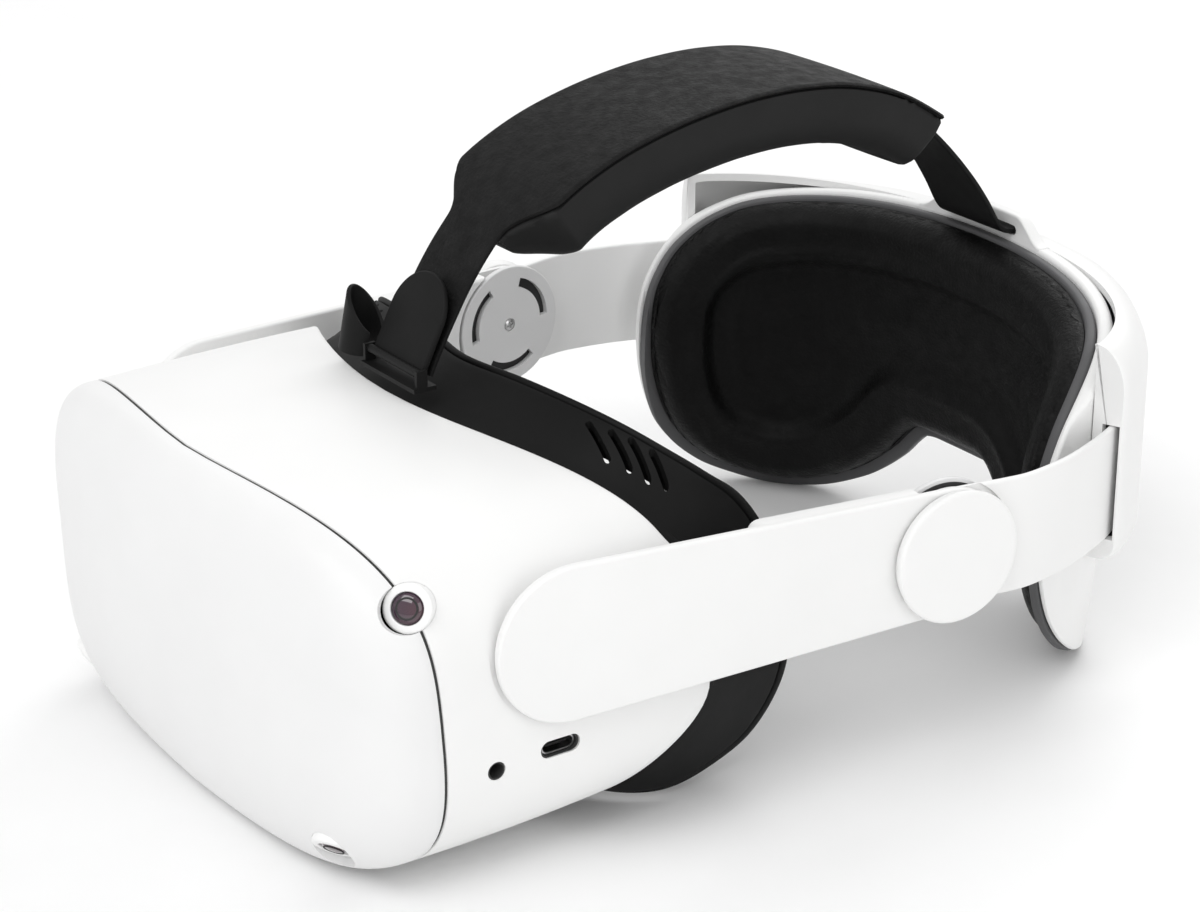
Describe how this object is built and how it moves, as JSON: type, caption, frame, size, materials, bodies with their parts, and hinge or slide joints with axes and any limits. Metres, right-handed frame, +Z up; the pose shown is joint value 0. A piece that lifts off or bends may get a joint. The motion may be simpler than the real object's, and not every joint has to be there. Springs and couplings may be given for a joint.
{
  "type": "vr headset",
  "caption": "White standalone VR headset with a black face cushion, hinged side arms, a padded rear cradle with a fit dial and a padded top strap.",
  "frame": {"origin": "on the surface that it stands on, under the middle of its bounding box", "axes": "+X to the wearer's left, +Y from the front cover towards the back of the head, +Z up; it stands on the visor's lower front edge and the two lower lobes of the rear cradle"},
  "size_m": [0.234, 0.3138, 0.172],
  "materials": {
    "white_plastic": "smooth, faintly satin moulded white",
    "grey_plastic": "light grey satin",
    "rim_plastic": "mid grey, fine matte texture",
    "black_plastic": "black, fine matte texture",
    "soft_black": "soft black, matte",
    "leatherette": "black grained leatherette",
    "lining": "black knitted cloth over foam",
    "lens_glass": "dark coated glass",
    "steel": "plain steel",
    "circuit_board": "green solder mask",
    "foil": "grey foil"
  },
  "bodies": {
    "visor": {"front_cover": "white_plastic", "body_shell": "white_plastic", "chassis": "black_plastic", "face_frame": "black_plastic", "face_cushion": "soft_black", "camera_bezel_upper_left": "white_plastic", "camera_bezel_upper_right": "white_plastic", "camera_bezel_lower_left": "white_plastic", "camera_bezel_lower_right": "white_plastic", "camera_lens_upper_left": "lens_glass", "camera_lens_upper_right": "lens_glass", "camera_lens_lower_left": "lens_glass", "camera_lens_lower_right": "lens_glass", "main_board": "circuit_board", "battery_pack": "foil", "heat_spreader": "foil", "fan_case": "black_plastic", "display_panel": "lens_glass", "proximity_sensor": "lens_glass", "lens_shroud": "black_plastic", "usb_c_port": "steel", "audio_jack": "black_plastic", "strap_anchor": "black_plastic", "strap_guide": "soft_black", "pivot_post_left": "black_plastic", "pivot_post_right": "black_plastic"},
    "fan": {"fan_rotor": "black_plastic"},
    "left_eye": {"lens_barrel_left": "black_plastic", "lens_left": "lens_glass"},
    "right_eye": {"lens_barrel_right": "black_plastic", "lens_right": "lens_glass"},
    "power_key": {"power_button": "white_plastic"},
    "volume_key": {"volume_rocker": "white_plastic"},
    "arms": {"side_arm_left": "white_plastic", "side_arm_right": "white_plastic"},
    "bands": {"hub_cap_left": "white_plastic", "hub_cap_right": "white_plastic", "hub_plate_left": "grey_plastic", "hub_plate_right": "grey_plastic", "hub_screw_left": "steel", "hub_screw_right": "steel", "rear_band_left": "white_plastic", "rear_band_right": "white_plastic", "band_tail_left": "white_plastic", "band_tail_right": "white_plastic"},
    "cradle": {"cradle_pad": "leatherette", "cradle_rim": "rim_plastic", "cradle_shell": "white_plastic", "cradle_cover": "white_plastic"},
    "dial": {"dial_pinion": "black_plastic", "dial_knob": "black_plastic"},
    "left_rack": {"rack_left": "black_plastic"},
    "right_rack": {"rack_right": "black_plastic"},
    "crown": {"top_strap": "leatherette", "top_strap_cushion": "lining", "top_strap_tab": "soft_black"},
    "back_strap": {"rear_strap": "soft_black"}
  },
  "joints": [
    {"name": "arm_tilt", "type": "hinge", "parent": "visor", "child": "arms", "pos_m": [0, -0.09141, 0.06679], "axis": [1, 0, 0], "range_deg": [-8, 8]},
    {"name": "rear_tilt", "type": "hinge", "parent": "arms", "child": "bands", "pos_m": [0, 0.02238, 0.06517], "axis": [1, 0, 0], "range_deg": [-4, 4]},
    {"name": "cradle_fit", "type": "slide", "parent": "bands", "child": "cradle", "axis": [0, 0.9999, -0.0142], "range_m": [-0.012, 0], "deforming": ["band_tail_left", "band_tail_right"]},
    {"name": "dial_turn", "type": "hinge", "parent": "cradle", "child": "dial", "pos_m": [0, 0.14153, 0.06128], "axis": [0, 0.9999, -0.0142], "range_deg": [-94, 0.5]},
    {"name": "left_rack_slide", "type": "slide", "parent": "cradle", "child": "left_rack", "axis": [1, 0, 0], "range_m": [-0.0116, 0.0001]},
    {"name": "right_rack_slide", "type": "slide", "parent": "cradle", "child": "right_rack", "axis": [1, 0, 0], "range_m": [-0.0001, 0.0116]},
    {"name": "crown_tilt", "type": "hinge", "parent": "visor", "child": "crown", "pos_m": [0, -0.08085, 0.10644], "axis": [1, 0, 0], "range_deg": [-6.8, 6.8]},
    {"name": "back_strap_bend", "type": "hinge", "parent": "cradle", "child": "back_strap", "pos_m": [0, 0.1272, 0.10849], "axis": [1, 0, 0], "range_deg": [-9.3, 0.2], "deforming": ["rear_strap"]},
    {"name": "eye_spacing", "type": "slide", "parent": "visor", "child": "left_eye", "axis": [1, 0, 0], "range_m": [-0.0025, 0.0025]},
    {"name": "right_eye_spacing", "type": "slide", "parent": "visor", "child": "right_eye", "axis": [1, 0, 0], "range_m": [-0.0026, 0.0026]},
    {"name": "power_press", "type": "slide", "parent": "visor", "child": "power_key", "axis": [1, 0, 0], "range_m": [0, 0.0006], "stiffness_N_per_m": 300, "springref_m": -0.001},
    {"name": "volume_rock", "type": "hinge", "parent": "visor", "child": "volume_key", "pos_m": [0.034, -0.10731, 0.00381], "axis": [0, 0.9999, -0.0142], "range_deg": [-1.2, 1.2], "stiffness_Nm_per_rad": 0.05},
    {"name": "fan_spin", "type": "hinge", "parent": "visor", "child": "fan", "pos_m": [0.031, -0.13618, 0.05522], "axis": [0, 0.9999, -0.0142], "continuous": true}
  ],
  "couplings": [
    {"joint": "dial_turn", "follows": "cradle_fit", "rad_per_m": 135.71},
    {"joint": "left_rack_slide", "follows": "cradle_fit", "ratio": 0.95},
    {"joint": "right_rack_slide", "follows": "cradle_fit", "ratio": -0.95},
    {"joint": "back_strap_bend", "follows": "cradle_fit", "rad_per_m": 13.3},
    {"joint": "crown_tilt", "follows": "arm_tilt", "ratio": 0.83},
    {"joint": "right_eye_spacing", "follows": "eye_spacing", "ratio": -1}
  ]
}
